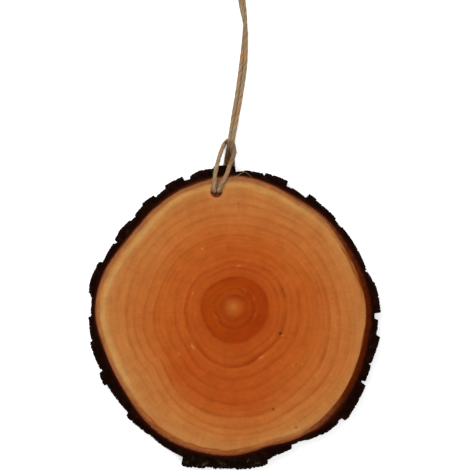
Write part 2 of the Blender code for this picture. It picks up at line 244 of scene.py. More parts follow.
# Rim of the wood: direction in degrees; strength of its pale band and how far in that lies; strength of its
# brown edge, how far in that begins and how red it is; width of its dark line at the bark
WOOD_RIM = [
    (0, 0.00, 0.0022, 0.00, 0.0016, 1.0, 0.00016), (25, 0.00, 0.0019, 0.80, 0.0014, 1.0, 0.00012),
    (40, 0.30, 0.0016, 0.60, 0.0015, 0.3, 0.00005), (50, 0.60, 0.0017, 0.65, 0.0014, 0.0, 0.00002),
    (58, 0.90, 0.0018, 1.05, 0.0016, 0.2, 0.00004), (70, 0.95, 0.0024, 1.00, 0.0015, 0.0, 0.00006),
    (88, 0.80, 0.0028, 1.15, 0.0020, 0.0, 0.00016), (112, 1.00, 0.0026, 1.05, 0.0020, 0.0, 0.00046),
    (135, 1.10, 0.0029, 1.10, 0.0020, 0.0, 0.00026), (160, 1.10, 0.0030, 0.90, 0.0015, 0.0, 0.00010),
    (185, 0.90, 0.0023, 0.90, 0.0015, 0.0, 0.00008), (200, 1.05, 0.0023, 1.00, 0.0015, 0.0, 0.00012),
    (209, 1.05, 0.0022, 1.05, 0.0015, 0.0, 0.00004), (222, 0.45, 0.0024, 1.10, 0.0019, 0.3, 0.00008),
    (234, 0.05, 0.0020, 0.75, 0.0012, 1.0, 0.00010), (257, 0.00, 0.0018, 0.60, 0.0012, 1.0, 0.00005),
    (270, 0.15, 0.0015, 0.70, 0.0012, 1.0, 0.00005), (284, 0.10, 0.0022, 1.00, 0.0019, 0.3, 0.00012),
    (297, 0.45, 0.0019, 0.95, 0.0015, 0.3, 0.00010), (308, 0.10, 0.0019, 0.20, 0.0015, 0.0, 0.00025),
    (320, 0.00, 0.0020, 0.00, 0.0015, 0.0, 0.00010), (345, 0.00, 0.0020, 0.00, 0.0015, 1.0, 0.00012),
]
PALE_BAND_HALF_WIDTH = 0.00105
EDGE_LINE_INSET = 0.00050
EDGE_LINE_HALF_WIDTH = 0.00032
EDGE_LINE_STRENGTH = 0.75
BROWN_EDGE_FADE = 0.0009
DARK_LINE_FADE = 0.00022

# Unevenness of the rim, as reach and scale: where its bands lie, the brown edge's strength, the wavy line
RIM_SHAKES = [(0.00030, 230.0), (0.00015, 900.0)]
BROWN_EDGE_SHAKES = [(0.8, 420.0)]
EDGE_LINE_SHAKES = [(0.00080, 260.0)]
EDGE_LINE_SHIFT = 7.0

# Hanging hole, placed from the slice's axis, with worn rims that are wider by HOLE_FLARE
HOLE_RADIUS = 0.0020
HOLE_FLARE = 0.00015
HOLE_ROUND = 0.0001
HOLE_PLACE = (-0.0054, 0.0410)
CUT_OVER = 0.001

# Worn rim and dark wall of the hole: strength by centimetres from its middle, and colour
HOLE_TONES = [
    ([(0.20, 0.0), (0.27, 0.12), (0.42, 0.0)], (222, 168, 112)),
    ([(0.205, 0.95), (0.225, 0.45), (0.238, 0.0)], (150, 56, 12)),
]

# Upper side of the hole, where its tones reach less far: by how much, and where along +Y that fades in
HOLE_UPPER_SHORTER = 0.0004
HOLE_UPPER_FROM = -0.0004
HOLE_UPPER_FADE = 0.0008

# Inner bark: direction in degrees, width, and its colour from dark red at 0 to pinkish tan at 1
INNER_BARK = [
    (0, 0.0023, 0.00), (15, 0.0023, 0.06), (26, 0.0019, 0.12), (36, 0.0015, 0.38), (44, 0.0010, 0.95),
    (52, 0.0010, 0.90), (57, 0.0012, 0.70), (64, 0.0007, 0.50), (72, 0.0004, 0.45), (95, 0.0002, 0.40),
    (115, 0.00012, 0.30), (135, 0.00012, 0.20), (155, 0.0003, 0.30), (184, 0.0004, 0.45),
    (200, 0.0002, 0.30), (208, 0.0003, 0.45), (222, 0.0004, 0.45), (232, 0.0011, 0.90), (245, 0.0014, 1.00),
    (258, 0.0012, 1.00), (270, 0.0012, 0.95), (279, 0.0009, 0.75), (285, 0.0004, 0.60), (292, 0.0008, 0.95),
    (300, 0.0009, 0.90), (307, 0.0021, 0.50), (314, 0.0024, 0.42), (322, 0.0026, 0.05), (335, 0.0026, 0.00),
    (348, 0.0024, 0.00),
]

# Reddish tone of the outer bark beside the inner bark: reach, strength, and the inner tone that makes it full
RED_BARK_FADE = 0.0009
RED_BARK_STRENGTH = 0.75
RED_BARK_TONE = 0.3

# Moss on the lowest plates: direction and half width in degrees, and where across the bark it fades in
MOSS_DIRECTION = 266.0
MOSS_HALF_WIDTH = 17.0
MOSS_FROM = 0.40
MOSS_FADE = 0.25

# Bark colours as seen: by a random pattern outside, and by the share of the inner bark's width inside
OUTER_BARK = [(0.30, (14, 6, 3)), (0.50, (24, 9, 4)), (0.65, (32, 15, 9)), (0.80, (56, 36, 26))]
MOSSY_BARK = [
    (0.30, (9, 4, 2)), (0.52, (18, 11, 5)), (0.60, (34, 26, 12)), (0.66, (66, 54, 40)), (0.74, (108, 94, 80)),
]
RED_OUTER_BARK = (54, 16, 1)
RED_INNER_BARK = [
    (0.00, (104, 42, 8)), (0.20, (82, 26, 2)), (0.55, (75, 26, 8)), (0.80, (56, 18, 6)), (1.00, (30, 7, 1)),
]
TAN_INNER_BARK = [
    (0.00, (152, 86, 46)), (0.25, (146, 82, 48)), (0.55, (126, 67, 40)), (0.80, (88, 42, 20)),
    (1.00, (52, 16, 2)),
]
INNER_BARK_RAGGED = 0.6

# Twine: its radius, that of its strands with their fuzz, its length, and the twist of its plies
STRAND_RADIUS = 0.00074
TWINE_STEP = 0.00028
PLIES = 3
PLY_PITCH = 0.0092
PLY_GROOVE = 0.09
STRAND_SWELL = 0.05
STRAND_ROUGH = 0.045
FIBRE_TWIST = 1.6

# Jute colours as seen: along its fibres where it is warm and where it is grey, and the painted shade between
# its plies
WARM_JUTE = [(0.25, (104, 66, 32)), (0.42, (158, 116, 74)), (0.58, (184, 146, 104)), (0.75, (214, 180, 142))]
GREY_JUTE = [(0.25, (98, 76, 50)), (0.42, (150, 124, 94)), (0.58, (174, 150, 120)), (0.75, (206, 186, 158))]
JUTE_GROOVE_SHADE = (96, 60, 30)

# Route of the twine, from its knot to the hitch, round through the hole, and back to the knot
TWINE_ROUTE = [
    (0.00136, 0.11430, 0.00152), (0.00250, 0.10780, 0.00175), (0.00369, 0.10230, 0.00205),
    (0.00395, 0.09670, 0.00184), (0.00369, 0.08810, 0.00118), (0.00238, 0.07840, 0.00090),
    (0.00108, 0.07100, 0.00110), (0.00004, 0.06530, 0.00235), (-0.00055, 0.06200, 0.00308),
    (-0.00086, 0.05930, 0.00262), (-0.00086, 0.05630, 0.00115), (-0.00066, 0.05350, 0.00074),
    (-0.00115, 0.05100, 0.00074), (-0.00331, 0.04820, 0.00074), (-0.00506, 0.04610, 0.00080),
    (-0.00540, 0.04490, 0.00115), (-0.00553, 0.04420, 0.00230), (-0.00553, 0.04390, 0.00450),
    (-0.00553, 0.04390, 0.00960), (-0.00552, 0.04415, 0.01140), (-0.00535, 0.04475, 0.01235),
    (-0.00490, 0.04580, 0.01268), (-0.00381, 0.04760, 0.01274), (-0.00236, 0.05070, 0.01280),
    (-0.00166, 0.05300, 0.01268), (-0.00100, 0.05440, 0.01120), (-0.00005, 0.05730, 0.00560),
    (-0.00025, 0.05930, 0.00235), (-0.00068, 0.06080, 0.00110), (-0.00110, 0.06165, 0.00074),
    (-0.00166, 0.06195, 0.00074), (-0.00238, 0.06165, 0.00074), (-0.00325, 0.06095, 0.00095),
    (-0.00390, 0.05990, 0.00235), (-0.00470, 0.05775, 0.00620), (-0.00561, 0.05470, 0.01110),
    (-0.00616, 0.05250, 0.01268), (-0.00676, 0.04950, 0.01278), (-0.00701, 0.04575, 0.01268),
    (-0.00700, 0.04475, 0.01235), (-0.00699, 0.04415, 0.01140), (-0.00699, 0.04390, 0.00960),
    (-0.00699, 0.04390, 0.00450), (-0.00699, 0.04420, 0.00230), (-0.00697, 0.04490, 0.00115),
    (-0.00686, 0.04610, 0.00080), (-0.00581, 0.04840, 0.00074), (-0.00421, 0.05130, 0.00074),
    (-0.00320, 0.05350, 0.00074), (-0.00268, 0.05630, 0.00085), (-0.00210, 0.05910, 0.00165),
    (-0.00166, 0.06200, 0.00218), (-0.00115, 0.06530, 0.00145), (-0.00030, 0.07100, 0.00074),
    (0.00094, 0.07840, 0.00074), (0.00227, 0.08810, 0.00074), (0.00325, 0.09670, 0.00074),
    (0.00369, 0.10230, 0.00074), (0.00343, 0.10780, 0.00074), (0.00266, 0.11430, 0.00070),
]

# Knot of the two ends: middle of its strands in millimetres from KNOT_CENTRE, and half the way between them
KNOT_CENTRE = (0.0021, 0.1176, 0.0019)
KNOT_ROUTE = [
    ((-0.09, -3.40, -0.79), (0.65, 0.00, -0.41)), ((0.00, -2.40, -0.60), (0.58, 0.00, -0.15)),
    ((-0.10, -0.90, 0.10), (0.60, 0.00, 0.05)), ((-0.20, 0.60, -0.50), (0.60, 0.00, 0.00)),
    ((0.20, 1.90, -0.20), (0.45, -0.40, 0.10)), ((1.20, 2.10, 0.50), (0.05, -0.60, 0.00)),
    ((1.75, 0.90, 0.85), (-0.55, -0.10, 0.10)), ((1.55, -0.70, 0.10), (-0.40, 0.40, 0.20)),
    ((0.70, -1.50, -0.95), (0.05, 0.55, 0.00)), ((-0.90, -1.35, -0.95), (-0.10, 0.55, 0.00)),
    ((-1.70, -0.20, 0.00), (0.20, 0.50, 0.15)), ((-0.80, 0.75, 1.00), (0.25, 0.55, 0.00)),
    ((0.50, 1.10, 0.80), (0.35, 0.50, 0.00)), ((1.00, 1.90, -0.30), (0.50, 0.25, 0.00)),
    ((0.40, 3.00, -0.85), (0.75, 0.00, 0.00)), ((-0.10, 5.80, -1.20), (1.75, 0.00, 0.00)),
    ((-0.90, 8.20, -1.25), (2.20, 0.00, 0.00)),
]
KNOT_STRAND_RADIUS = 0.00064

# Loose fibre that lies over the hitch and the bark
STRAY_FIBRE = [
    (-0.00410, 0.04620, 0.01190), (-0.00131, 0.04792, 0.01215), (0.00119, 0.04931, 0.01220),
    (0.00206, 0.04994, 0.01215), (0.00346, 0.05053, 0.01200), (0.00446, 0.05008, 0.01215),
    (0.00606, 0.04868, 0.01205),
]
STRAY_FIBRE_RADIUS = 0.00011

# Other loose fibres: how many, and their least and most radius
TWINE_FUZZ = (420, (0.000012, 0.000026))
KNOT_FUZZ = (130, (0.000012, 0.000026))
HOLE_FIBRES = (560, (0.00008, 0.00015))
HITCH_FIBRES = (150, (0.00007, 0.00013))
MOUTH_FIBRES = (220, (0.00005, 0.00009))
LEG_FRAY = (120, (0.00003, 0.00006))

# Fibres that stand out of a strand: least and most length, and how steeply they rise and bend
FUZZ_LENGTH = (0.0007, 0.0022)
FUZZ_LIFT = (0.1, 0.55)
FUZZ_BEND = (-0.5, 0.5)

# Fibres in the hole: heights of those at its wall and of the others, and half length
WALL_FIBRE_HEIGHTS = (0.0060, 0.0093)
INNER_FIBRE_HEIGHTS = (0.0040, 0.0085)
HOLE_FIBRE_HALF = 0.0008

# Fibres at the hole's mouth: directions in degrees, shares of the hole's radius, heights over it, half length
MOUTH_DIRECTIONS = (5.0, 175.0)
MOUTH_SHARES = (0.65, 1.02)
MOUTH_HEIGHTS = (-0.0003, 0.0001)
MOUTH_FIBRE_HALF = 0.0006

# Fibres behind the hitch: where their middles start and how far on they go, width and depth, and half length
HITCH_FIBRES_START = (-0.0021, 0.0535, 0.0006)
HITCH_FIBRES_ALONG = (0.0009, 0.0062, 0.0007)
HITCH_FIBRES_WIDE = 0.0007
HITCH_FIBRES_DEEP = 0.0004
HITCH_FIBRE_HALF = (0.00022, 0.0013)

# Frayed stretch of the two legs at the hole: above this height, and up to here along +Y
LEG_FRAY_ABOVE = 0.0120
LEG_FRAY_TO = 0.0490

# Painted brown shade inside the hitch: its left end, both ends along +Y, its top, its strength above that,
# over how much it fades in downwards and along the twine, and its tint
HITCH_SHADE_LEFT = -0.0035
HITCH_SHADE_FROM = 0.0522
HITCH_SHADE_TO = 0.0622
HITCH_SHADE_TOP = 0.0029
HITCH_SHADE_HIGH = 0.52
HITCH_SHADE_DOWN = 0.0008
HITCH_SHADE_ALONG = 0.0012
SHADE_TINT = (0.38, 0.30, 0.23, 1.0)

# Weaker darkening of the twine's upper part: its two ends along +Y, over how much it fades in and its
# strength
UPPER_SHADE_FROM = 0.0930
UPPER_SHADE_TO = 0.1060
UPPER_SHADE_FADE = 0.004
UPPER_SHADE = 0.25

# Studio light: how bright a white surface is in it, and how much of it a surface's gloss gives back
LIGHT_LEVEL = 1.48
WOOD_GLOSS = 0.0030
BARK_GLOSS = 0.0015
JUTE_GLOSS = 0.0110

# Lights: name, place, size and power, and where they aim. Then the sky's strength and the floor
LIGHTS = [("key", (-0.35, 0.45, 1.15), 0.6, 10.0), ("fill", (0.45, -0.30, 1.10), 0.8, 4.0)]
LIGHT_AIM = (0.0, 0.03, 0.0)
SKY_STRENGTH = 0.75
FLOOR_WHITE = 0.93
FLOOR_GLOW = 0.30
FLOOR_HALF = 3.0

SEED = 220


def seen(colour, gloss):
    """The linear colour of a surface that the studio light shows as this red, green and blue, 0 to 255."""
    shares = [c / 255.0 for c in colour]
    linear = [s / 12.92 if s <= 0.04045 else ((s + 0.055) / 1.055) ** 2.4 for s in shares]
    return tuple(max(0.0, value - gloss) / LIGHT_LEVEL for value in linear) + (1.0,)


def clamped(value):
    """The value, kept from 0 to 1."""
    return max(0.0, min(1.0, value))


# Helpers for meshes and materials

def add_object(name, data):
    """A new object in the scene."""
    made = bpy.data.objects.new(name, data)
    bpy.context.scene.collection.objects.link(made)
    return made


def add_mesh(name, points, faces):
    """A new object out of points and faces."""
    mesh = bpy.data.meshes.new(name)
    mesh.from_pydata([tuple(p) for p in points], [], [tuple(f) for f in faces])
    return add_object(name, mesh)


def new_piece(name, points, faces, slot, material=None):
    """A smooth-shaded mesh piece in the model's frame, on the slice's body."""
    piece = add_mesh(name, points, faces)
    piece.data.shade_smooth()
    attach(piece, "root")
    if material:
        piece.data.materials.append(material)
    return piece


def add_values(piece, values):
    """Store numbers or vectors for the vertices under each name, for the material to read."""
    for name, own in values.items():
        own = np.asarray(own, np.float32)
        kind, field = ("FLOAT", "value") if own.ndim == 1 else ("FLOAT_VECTOR", "vector")
        attribute = piece.data.attributes.new(name, kind, "POINT")
        attribute.data.foreach_set(field, own.ravel())


def grid_faces(rows, columns, closed_rows):
    """Quads of a grid that closes round its columns, and round its rows too if asked."""
    faces = []
    for row in range(rows if closed_rows else rows - 1):
        here = row * columns
        above = (row + 1) % rows * columns
        for column in range(columns):
            beside = (column + 1) % columns
            faces.append((here + column, here + beside, above + beside, above + column))
    return faces


def joined(parts):
    """Points and faces of several parts as one."""
    points, faces = [], []
    for own_points, own_faces in parts:
        first = len(points)
        points += own_points
        faces += [tuple(first + i for i in face) for face in own_faces]
    return points, faces


def eased(t, start, slope_start, end, slope_end):
    """Value at t from 0 to 1 on a smooth curve between two values with these slopes."""
    return (
        (2 * t**3 - 3 * t**2 + 1) * start
        + (t**3 - 2 * t**2 + t) * slope_start
        + (3 * t**2 - 2 * t**3) * end
        + (t**3 - t**2) * slope_end
    )


class Nodes:
    """One material's nodes, built with short calls. An input is a value or another node's output."""

    def __init__(self, name, gloss=0.0, **shader_inputs):
        self.material = bpy.data.materials.new(name)
        self.material.use_nodes = True
        self.tree = self.material.node_tree
        self.shader = self.tree.nodes["Principled BSDF"]
        self.gloss = gloss
        for key, value in shader_inputs.items():
            self.shade(key.replace("_", " "), value)

    def shade(self, name, value):
        """Give one of the shader's inputs."""
        self.link(value, self.shader.inputs[name])

    def seen(self, *colour):
        """The linear colour of this surface for a red, green and blue as seen."""
        return seen(colour, self.gloss)

    def link(self, source, target):
        if isinstance(source, bpy.types.NodeSocket):
            self.tree.links.new(source, target)
        else:
            target.default_value = source

    def node(self, kind, inputs, **settings):
        """A new node of this kind, with its settings and its inputs by name or number."""
        node = self.tree.nodes.new("ShaderNode" + kind)
        for key, value in settings.items():
            setattr(node, key, value)
        for key, value in inputs.items():
            self.link(value, node.inputs[key])
        return node

    def values(self, name, output="Fac"):
        """Numbers stored on the vertices, or vectors with the output "Vector"."""
        return self.node("Attribute", {}, attribute_name=name).outputs[output]

    def position(self):
        return self.node("TexCoord", {}).outputs["Object"]

    def slice_position(self):
        """Place in the slice's own coordinates."""
        inputs = {"Vector": self.position(), "Location": AXIS_FOOT, "Rotation": (LEAN, 0.0, 0.0)}
        return self.node("Mapping", inputs, vector_type="TEXTURE").outputs[0]

    def vector_math(self, operation, *inputs):
        return self.node("VectorMath", dict(enumerate(inputs)), operation=operation)

    def shaken(self, vector, scale, reach):
        """A place moved about at random by up to half of reach."""
        random = self.node("TexNoise", {"Vector": vector, "Scale": scale}).outputs["Color"]
        moved = self.vector_math("MULTIPLY_ADD", random, (reach, reach, 0.0), vector).outputs[0]
        return self.vector_math("SUBTRACT", moved, (reach * 0.5, reach * 0.5, 0.0)).outputs[0]

    def math(self, operation, first, second=0.0, clamp=False):
        return self.node("Math", {0: first, 1: second}, operation=operation, use_clamp=clamp).outputs[0]

    def noise(self, vector, scale, detail=3.0, roughness=0.55, stretch=(1.0, 1.0, 1.0)):
        stretched = self.node("Mapping", {"Vector": vector, "Scale": stretch}).outputs[0]
        inputs = {"Vector": stretched, "Scale": scale, "Detail": detail, "Roughness": roughness}
        return self.node("TexNoise", inputs).outputs["Fac"]

    def ramp(self, factor, stops, smooth=False):
        """A colour ramp. A stop is a place from 0 to 1, and one number or a red, green and blue as seen."""
        node = self.node("ValToRGB", {"Fac": factor})
        node.color_ramp.interpolation = "EASE" if smooth else "LINEAR"
        elements = node.color_ramp.elements
        elements.remove(elements[1])
        for number, (place, value) in enumerate(stops):
            element = elements[0] if number == 0 else elements.new(place)
            element.position = place
            element.color = self.seen(*value) if isinstance(value, tuple) else (value, value, value, 1.0)
        return node.outputs["Color"]

    def mix(self, factor, first, second, blend="MIX"):
        inputs = {"Factor": factor, "A": first, "B": second}
        return self.node("Mix", inputs, data_type="RGBA", blend_type=blend).outputs["Result"]

    def finish(self, colour, height, strength, distance):
        """Give the shader its colour and its bump, and return the material."""
        self.shade("Base Color", colour)
        bump = self.node("Bump", {"Strength": strength, "Distance": distance, "Height": height})
        self.shade("Normal", bump.outputs["Normal"])
        return self.material


# Outline of the slice

def closed_curve(rows, angle):
    """Value in a direction in degrees of a smooth closed curve through rows of direction and value."""
    angle = angle % 360.0
    count = len(rows)
    index = max(i for i in range(count) if rows[i][0] <= angle)
    points = []
    for offset in (-1, 0, 1, 2):
        turns, place = divmod(index + offset, count)
        points.append((rows[place][0] + 360.0 * turns, rows[place][1]))
    (a0, r0), (a1, r1), (a2, r2), (a3, r3) = points
    span = a2 - a1
    slope_start = (r2 - r0) / (a2 - a0) * span
    slope_end = (r3 - r1) / (a3 - a1) * span
    return eased((angle - a1) / span, r1, slope_start, r2, slope_end)


def curve_at(rows, angles):
    """Values in many directions of the smooth closed curve through rows."""
    return np.interp(angles, ALL_ROUND, [closed_curve(rows, a) for a in ALL_ROUND], period=360.0)


def wood_edge(angle):
    """Radius of the wood in a direction in degrees, from the slice's axis."""
    return closed_curve(WOOD_EDGE, angle)


def plate_radius(angle):
    """Radius of the bark in a direction in degrees: straight along each plate, with a step between plates."""
    first = PLATES[0][0]
    angle = (angle - first) % 360.0 + first
    index = max(i for i in range(len(PLATES)) if PLATES[i][0] <= angle)
    start, radius_start, radius_end = PLATES[index]
    end = PLATES[index + 1][0] if index + 1 < len(PLATES) else first + 360.0
    return radius_start + (radius_end - radius_start) * (angle - start) / (end - start)


def by_direction(rows, column, angle):
    """A column of a table by direction, read between its rows."""
    return np.interp(angle, [row[0] for row in rows], [row[column] for row in rows], period=360.0)


def shakes(points, kinds, shift=0.0):
    """Smooth random numbers at the points, with each kind's reach and scale."""
    offset = Vector((0.0, 0.0, shift))
    numbers = np.zeros(len(points))
    for reach, scale in kinds:
        numbers += reach * np.array([noise.noise(Vector(p) * scale + offset) for p in points])
    return numbers


# Wood

def ring_shares(points):
    """How far out from pith to edge each point lies, from 0 to 1, and its direction from the pith."""
    x = points[:, 0] - RING_CENTRE[0]
    y = points[:, 1] - RING_CENTRE[1]
    radius = np.hypot(x, y)
    angle = np.degrees(np.arctan2(y, x)) % 360.0
    dent = RING_DENT * np.exp(-(((angle - RING_DENT_DIRECTION) / RING_DENT_HALF_WIDTH) ** 2))
    reaches = [np.zeros(len(points))]
    shares = [0.0]
    for share, radii in RING_CURVES:
        rows = [(15.0 * number, own * 0.001) for number, own in enumerate(radii)]
        reaches.append(curve_at(rows, angle) * (1.0 - dent * np.interp(share, RING_DENT_SHARES, (0.0, 1.0))))
        shares.append(share)
    edges = np.array([wood_edge(a) for a in ALL_ROUND])
    edge_x = edges * np.cos(np.radians(ALL_ROUND)) - RING_CENTRE[0]
    edge_y = edges * np.sin(np.radians(ALL_ROUND)) - RING_CENTRE[1]
    edge_angle = np.degrees(np.arctan2(edge_y, edge_x)) % 360.0
    reaches.append(np.interp(angle, edge_angle, np.hypot(edge_x, edge_y), period=360.0))
    shares.append(1.0)
    total = np.zeros(len(points))
    for number in range(len(shares) - 1):
        near, far = reaches[number], reaches[number + 1]
        total += (shares[number + 1] - shares[number]) * np.clip((radius - near) / (far - near), 0.0, 1.0)
    return total, angle


def wood_rim(points):
    """Strengths at each point of the wood's pale band, brown and red edge, wavy line and dark line."""
    angle = np.degrees(np.arctan2(points[:, 1], points[:, 0])) % 360.0
    exact = curve_at(WOOD_EDGE, angle) - np.hypot(points[:, 0], points[:, 1])
    inset = exact + shakes(points, RIM_SHAKES)
    pale_strength, pale_inset, strength, start, redness, line = (
        by_direction(WOOD_RIM, column, angle) for column in range(1, 7)
    )
    pale = np.exp(-(((inset - pale_inset) / PALE_BAND_HALF_WIDTH) ** 2)) * pale_strength
    edge = np.clip((start - inset) / BROWN_EDGE_FADE, 0.0, 1.0) * strength
    edge *= 1.0 + shakes(points, BROWN_EDGE_SHAKES)
    dark = np.clip((line - np.maximum(inset, 0.0)) / DARK_LINE_FADE, 0.0, 1.0)
    from_line = exact - EDGE_LINE_INSET - shakes(points, EDGE_LINE_SHAKES, EDGE_LINE_SHIFT)
    wavy = EDGE_LINE_STRENGTH * np.exp(-((from_line / EDGE_LINE_HALF_WIDTH) ** 2))
    return {
        "pale_band": np.clip(pale, 0.0, 1.0),
        "brown_edge": edge * (1.0 - redness),
        "red_edge": edge * redness,
        "wavy_line": wavy * redness ** 2 * np.minimum(1.0, strength * 2.0),
        "dark_line": dark,
    }


def ring_tones(share, angle):
    """Light and dark of the growth rings: each darkens up to its line, and the next one starts pale."""
    tone = np.zeros(len(share))
    table = np.arange(0.0, 360.0, 2.0)
    around = [Vector((cos(radians(a)), sin(radians(a)), 0.0)) for a in table]
    for number, (at, half, strength, darkest) in enumerate(RINGS):
        layer = Vector((0.0, 0.0, 3.7 * number))
        patches = [noise.noise(a * (1.0 + 4.0 * at) + layer) for a in around]
        uneven = RING_MEAN + RING_PATCHES * np.interp(angle, table, patches, period=360.0)
        uneven *= 1.0 + RING_DARK_SIDE * np.cos(np.radians(angle - darkest))
        past = (share - at) / half - RING_DARKEST
        dark = np.where(past < 0.0, 1.0 + past / RING_DARKENS, 1.0 - past / RING_CLEARS)
        pale = np.exp(-(((past - RING_PALE_MIDDLE) / RING_PALE_HALF_WIDTH) ** 2))
        tone += strength * uneven * (RING_PALE * pale - np.clip(dark, 0.0, 1.0) ** RING_DARK_POWER)
    return tone


def warmth(share, angle):
    """How strongly each point belongs to the redder sector of the wood and to the darker side of its core."""
    sector = np.interp(share, WARM_SHARES, (0.0, 1.0, 1.0, 0.0))
    sector *= np.exp(-(((angle - WARM_DIRECTION) / WARM_HALF_WIDTH) ** 2))
    core = np.interp(share, CORE_SHARES, (0.0, 1.0, 1.0, 0.0))
    return sector + core * (CORE_DARK_SIDE * np.cos(np.radians(angle - CORE_DARK_DIRECTION)))


def wood_values(place):
    """What the wood's material reads at each place. The bore is in centimetres from the hole's middle."""
    share, angle = ring_shares(place)
    share += shakes(place, RING_SHAKES)
    turn = np.radians(angle)
    from_hole = np.hypot(place[:, 0] - HOLE_PLACE[0], place[:, 1] - HOLE_PLACE[1])
    upper = np.clip((place[:, 1] - HOLE_PLACE[1] - HOLE_UPPER_FROM) / HOLE_UPPER_FADE, 0.0, 1.0)
    return {
        "share": share,
        "ring": ring_tones(share, angle),
        "warm": warmth(share, angle),
        **wood_rim(place),
        "grain": np.stack([np.cos(turn), np.sin(turn), share], axis=1),
        "bore": (from_hole + HOLE_UPPER_SHORTER * upper) * 100.0,
    }


def paint_marks(nodes, colour, place):
    """Small pale flecks and dark specks, each a slightly ragged ellipse on the face."""
    ragged = nodes.shaken(place, MARK_RAGGED_SCALE, MARK_RAGGED_REACH)
    for x, y, direction, half_length, half_width, tone in MARKS:
        ellipse = nodes.node("Mapping", {
            "Vector": ragged,
            "Location": (x * 0.001, y * 0.001, THICKNESS),
            "Rotation": (0.0, 0.0, radians(direction)),
            "Scale": (half_length * 0.001, half_width * 0.001, 0.001),
        }, vector_type="TEXTURE")
        distance = nodes.vector_math("LENGTH", ellipse.outputs[0]).outputs["Value"]
        strength = abs(tone) * MARK_STRENGTH
        spot = nodes.ramp(distance, [(0.0, strength), (0.25, strength), (1.0, 0.0)], smooth=True)
        colour = nodes.mix(spot, colour, nodes.seen(*(PALE_MARK if tone > 0 else DARK_MARK)))
    return colour


def wood_material():
    """Oiled end grain: growth rings, fine rays, small marks, and a darker drilled hole."""
    nodes = Nodes("sawn_wood", WOOD_GLOSS, Roughness=0.5, Specular_IOR_Level=0.02)
    place = nodes.slice_position()
    ring = nodes.values("ring")
    colour = nodes.ramp(nodes.values("share"), WOOD_COLOURS)
    for name, band in WOOD_BANDS:
        colour = nodes.mix(nodes.values(name), colour, nodes.seen(*band))
    cloud = nodes.math("SUBTRACT", nodes.noise(place, CLOUD_SCALE), 0.5)
    warm = nodes.math("ADD", nodes.values("warm"), nodes.math("MULTIPLY", cloud, CLOUD_STRENGTH))
    for value, sign, tint in (
        (warm, 1.0, RED_TINT), (warm, -1.0, YELLOW_TINT),
        (ring, -1.0, DARK_RING_TINT), (ring, 1.0, PALE_RING_TINT),
    ):
        colour = nodes.mix(nodes.math("MULTIPLY", value, sign, clamp=True), colour, tint, "MULTIPLY")
    grain = nodes.values("grain", "Vector")
    rays = nodes.noise(grain, 1.0, 3.0, 0.6, RAY_SCALES)
    bands = nodes.noise(grain, 1.0, 3.0, 0.6, BAND_SCALES)
    mottle = nodes.noise(place, MOTTLE_SCALE, 4.0, 0.6)
    fine = nodes.noise(place, FINE_GRAIN_SCALE, 3.0, 0.7)
    for pattern, strength in zip((rays, bands, mottle, fine), PATTERN_STRENGTHS):
        colour = nodes.mix(strength, colour, nodes.ramp(pattern, [(0.3, 0.3), (0.7, 0.7)]), "OVERLAY")
    colour = paint_marks(nodes, colour, place)
    for name, line in WOOD_LINES:
        colour = nodes.mix(nodes.values(name), colour, nodes.seen(*line))
    bore = nodes.values("bore")
    for stops, paint in HOLE_TONES:
        colour = nodes.mix(nodes.ramp(bore, stops), colour, nodes.seen(*paint))
    height = nodes.math("ADD", fine, nodes.math("MULTIPLY", ring, 0.3))
    return nodes.finish(colour, height, 0.25, 0.00006)


def wood_grid():
    """Points and faces of the disc, from its back's middle, over its side, to its front's middle."""
    back_rows, side_rows, front_rows = WOOD_ROWS
    angles = [360.0 * c / WOOD_COLUMNS for c in range(WOOD_COLUMNS)]
    edges = [wood_edge(a) + JOINT_GAP * 0.5 for a in angles]
    side = THICKNESS - 2.0 * WOOD_CHAMFER
    profile = [((k + 1) / back_rows, -WOOD_CHAMFER, 0.0) for k in range(back_rows)]
    profile += [(1.0, 0.0, WOOD_CHAMFER + side * k / side_rows) for k in range(side_rows + 1)]
    profile += [((front_rows - k) / front_rows, -WOOD_CHAMFER, THICKNESS) for k in range(front_rows)]
    points = []
    for out, inset, height in profile:
        for angle, edge in zip(angles, edges):
            radius = (edge + inset) * out
            points.append((radius * cos(radians(angle)), radius * sin(radians(angle)), height))
    faces = grid_faces(len(profile), WOOD_COLUMNS, False)
    points += [(0.0, 0.0, 0.0), (0.0, 0.0, THICKNESS)]
    back, front = len(points) - 2, len(points) - 1
    last = (len(profile) - 1) * WOOD_COLUMNS
    for column in range(WOOD_COLUMNS):
        beside = (column + 1) % WOOD_COLUMNS
        faces.append((back, beside, column))
        faces.append((front, last + column, last + beside))
    return points, faces


def cut_hole(wood):
    """Cut the drilled hole with its two worn rims out of the disc."""
    wide = HOLE_RADIUS + HOLE_FLARE
    half = [
        (wide, -CUT_OVER), (wide, 0.0),
        (HOLE_RADIUS + HOLE_ROUND, HOLE_FLARE * 0.5), (HOLE_RADIUS, HOLE_FLARE * 1.2),
    ]
    points = []
    for radius, height in half + [(r, THICKNESS - h) for r, h in reversed(half)]:
        for side in range(HOLE_SIDES):
            turn = 2.0 * pi * side / HOLE_SIDES
            points.append((HOLE_PLACE[0] + radius * cos(turn), HOLE_PLACE[1] + radius * sin(turn), height))
    faces = grid_faces(2 * len(half), HOLE_SIDES, False)
    faces.append(tuple(reversed(range(HOLE_SIDES))))
    faces.append(tuple(range(len(points) - HOLE_SIDES, len(points))))
    cutter = add_mesh("hole cutter", points, faces)
    cut = wood.modifiers.new("hole", "BOOLEAN")
    cut.operation = "DIFFERENCE"
    cut.solver = "EXACT"
    cut.object = cutter
    bpy.context.view_layer.update()
    wood.data = bpy.data.meshes.new_from_object(wood.evaluated_get(bpy.context.evaluated_depsgraph_get()))
    wood.modifiers.clear()
    bpy.data.objects.remove(cutter)


